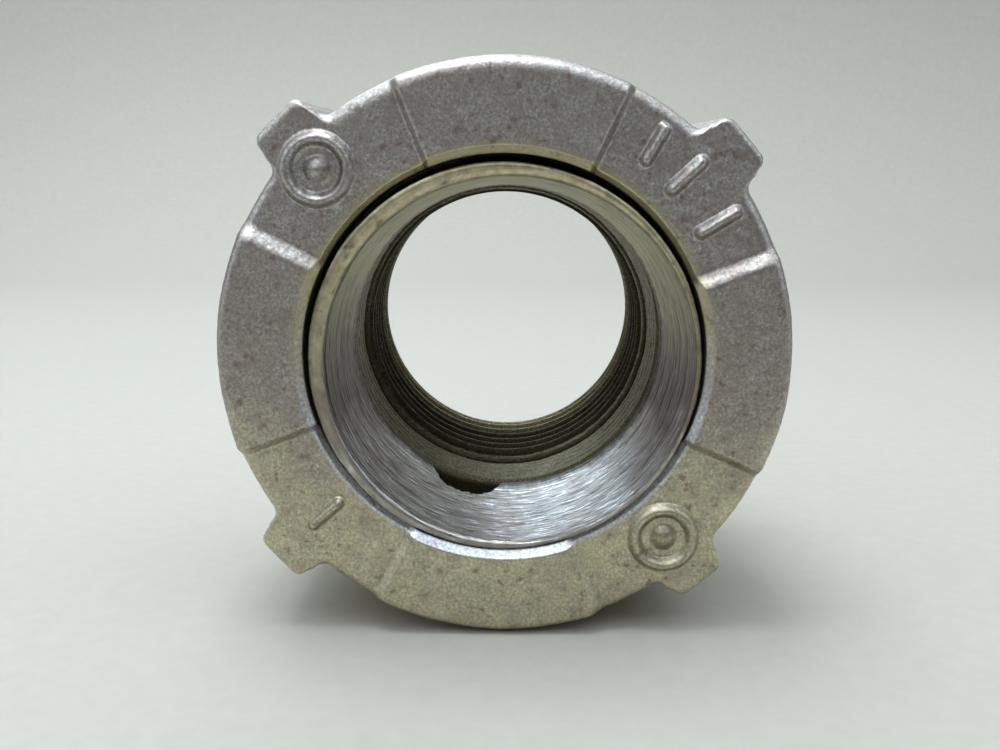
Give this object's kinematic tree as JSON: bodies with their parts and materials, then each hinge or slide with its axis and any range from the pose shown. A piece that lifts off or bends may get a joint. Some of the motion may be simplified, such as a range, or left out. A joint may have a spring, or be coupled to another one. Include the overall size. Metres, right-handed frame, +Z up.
{
  "type": "pipe union",
  "caption": "Three-piece union for threaded conduit: a lugged ring nut draws a flanged sleeve onto a threaded hub with a hexagonal wrench end.",
  "frame": {"origin": "on the bore's axis, halfway along the fitting, at the centre of its bounding box", "axes": "the bore runs along Y; the nut's face looks towards -Y and the hub's wrench end towards +Y; +Z is up as the fitting lies on its rim"},
  "size_m": [0.056, 0.0356, 0.056],
  "materials": {
    "nut_zinc": "zinc plated, rough as-cast grain",
    "sleeve_zinc": "zinc plated over a turned surface, satin",
    "hub_zinc": "zinc plated, dull, with oil-stained threads"
  },
  "bodies": {
    "hub": {"threaded_hub": "hub_zinc"},
    "sleeve": {"flanged_sleeve": "sleeve_zinc"},
    "nut": {"ring_nut": "nut_zinc"}
  },
  "joints": [
    {"name": "sleeve_slide", "type": "slide", "parent": "hub", "child": "sleeve", "axis": [0, -1, 0], "range_m": [0, 0.00556]},
    {"name": "nut_turn", "type": "hinge", "parent": "sleeve", "child": "nut", "pos_m": [0, 0, 0], "axis": [0, -1, 0], "range_deg": [0, 1260]}
  ],
  "couplings": [
    {"joint": "sleeve_slide", "follows": "nut_turn", "m_per_rad": 0.00025266}
  ]
}
